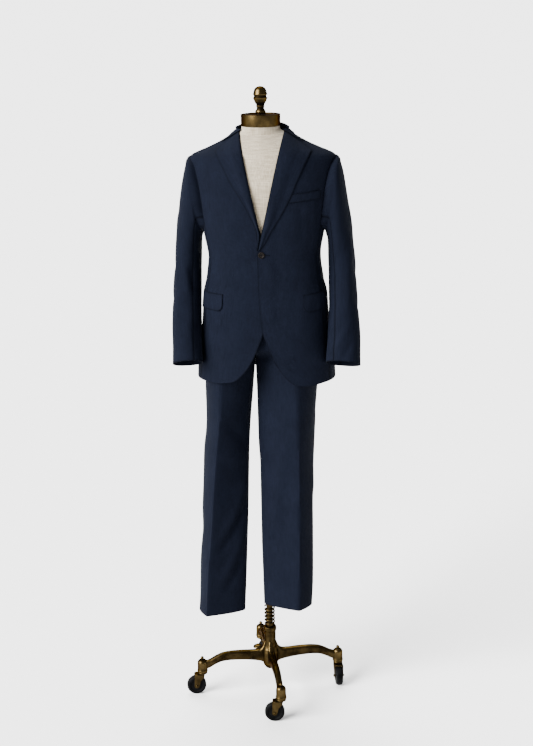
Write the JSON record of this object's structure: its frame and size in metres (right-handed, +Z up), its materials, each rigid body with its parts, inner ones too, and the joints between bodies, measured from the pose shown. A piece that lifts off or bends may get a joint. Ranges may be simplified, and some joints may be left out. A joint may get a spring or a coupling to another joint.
{
  "type": "suit on a limbless dress form and caster stand",
  "caption": "Navy single-breasted two-piece suit, jacket with notch lapels and creased trousers, on a limbless dress form with a brass cap and a four-foot caster stand.",
  "frame": {"origin": "on the floor under the stand's pole", "axes": "+Z up along the pole, the suit's front faces -Y, +X is the wearer's left"},
  "size_m": [0.5849, 0.5005, 1.997],
  "materials": {
    "navy_worsted": "matt worsted twill with a faint blue sheen",
    "linen": "unbleached linen canvas",
    "horn": "dark polished horn",
    "antique_brass": "aged, dark in the hollows",
    "wheel_rubber": "black rubber tread"
  },
  "bodies": {
    "stand": {"stand_hub": "antique_brass", "height_spring": "antique_brass", "stand_arm_front": "antique_brass", "stand_arm_right": "antique_brass", "stand_arm_back": "antique_brass", "stand_arm_left": "antique_brass", "stand_bell_front": "antique_brass", "stand_bell_right": "antique_brass", "stand_bell_back": "antique_brass", "stand_bell_left": "antique_brass"},
    "figure": {"pole": "antique_brass", "form_torso": "linen", "neck_cap": "antique_brass", "finial": "antique_brass", "front_button": "horn", "jacket_front_right": "navy_worsted", "jacket_front_left": "navy_worsted", "jacket_side_right": "navy_worsted", "jacket_side_left": "navy_worsted", "jacket_back_right": "navy_worsted", "jacket_back_left": "navy_worsted", "sleeve_upper_right": "navy_worsted", "sleeve_upper_left": "navy_worsted", "sleeve_under_right": "navy_worsted", "sleeve_under_left": "navy_worsted", "lapel_right": "navy_worsted", "lapel_left": "navy_worsted", "collar": "navy_worsted", "breast_welt": "navy_worsted", "pocket_flap_right": "navy_worsted", "pocket_flap_left": "navy_worsted", "trouser_front_right": "navy_worsted", "trouser_front_left": "navy_worsted", "trouser_back_right": "navy_worsted", "trouser_back_left": "navy_worsted", "waistband": "navy_worsted"},
    "pedal": {"foot_pedal": "antique_brass"},
    "caster_front": {"caster_fork_front": "antique_brass"},
    "wheel_front": {"caster_wheel_front": "wheel_rubber"},
    "caster_right": {"caster_fork_right": "antique_brass"},
    "wheel_right": {"caster_wheel_right": "wheel_rubber"},
    "caster_back": {"caster_fork_back": "antique_brass"},
    "wheel_back": {"caster_wheel_back": "wheel_rubber"},
    "caster_left": {"caster_fork_left": "antique_brass"},
    "wheel_left": {"caster_wheel_left": "wheel_rubber"}
  },
  "joints": [
    {"name": "height_slide", "type": "slide", "parent": "stand", "child": "figure", "axis": [0, 0, 1], "range_m": [0, 0.1]},
    {"name": "pedal_press", "type": "hinge", "parent": "stand", "child": "pedal", "pos_m": [-0.0238, 0.01793, 0.1155], "axis": [0.9243, 0.3818, 0], "range_deg": [-12, 0], "stiffness_Nm_per_rad": 1, "springref_deg": 8.59},
    {"name": "swivel_front", "type": "hinge", "parent": "stand", "child": "caster_front", "pos_m": [0.03201, -0.22776, 0.07], "axis": [0, 0, 1], "continuous": true},
    {"name": "roll_front", "type": "hinge", "parent": "caster_front", "child": "wheel_front", "pos_m": [0.01102, -0.22703, 0.032], "axis": [0.0349, 0.9994, 0], "continuous": true},
    {"name": "swivel_right", "type": "hinge", "parent": "stand", "child": "caster_right", "pos_m": [0.22776, 0.03201, 0.07], "axis": [0, 0, 1], "continuous": true},
    {"name": "roll_right", "type": "hinge", "parent": "caster_right", "child": "wheel_right", "pos_m": [0.22996, 0.01112, 0.032], "axis": [-0.9945, -0.1045, 0], "continuous": true},
    {"name": "swivel_back", "type": "hinge", "parent": "stand", "child": "caster_back", "pos_m": [-0.03201, 0.22776, 0.07], "axis": [0, 0, 1], "continuous": true},
    {"name": "roll_back", "type": "hinge", "parent": "caster_back", "child": "wheel_back", "pos_m": [-0.01228, 0.23494, 0.032], "axis": [0.342, -0.9397, 0], "continuous": true},
    {"name": "swivel_left", "type": "hinge", "parent": "stand", "child": "caster_left", "pos_m": [-0.22776, -0.03201, 0.07], "axis": [0, 0, 1], "continuous": true},
    {"name": "roll_left", "type": "hinge", "parent": "caster_left", "child": "wheel_left", "pos_m": [-0.24865, -0.0342, 0.032], "axis": [-0.1045, 0.9945, 0], "continuous": true}
  ]
}
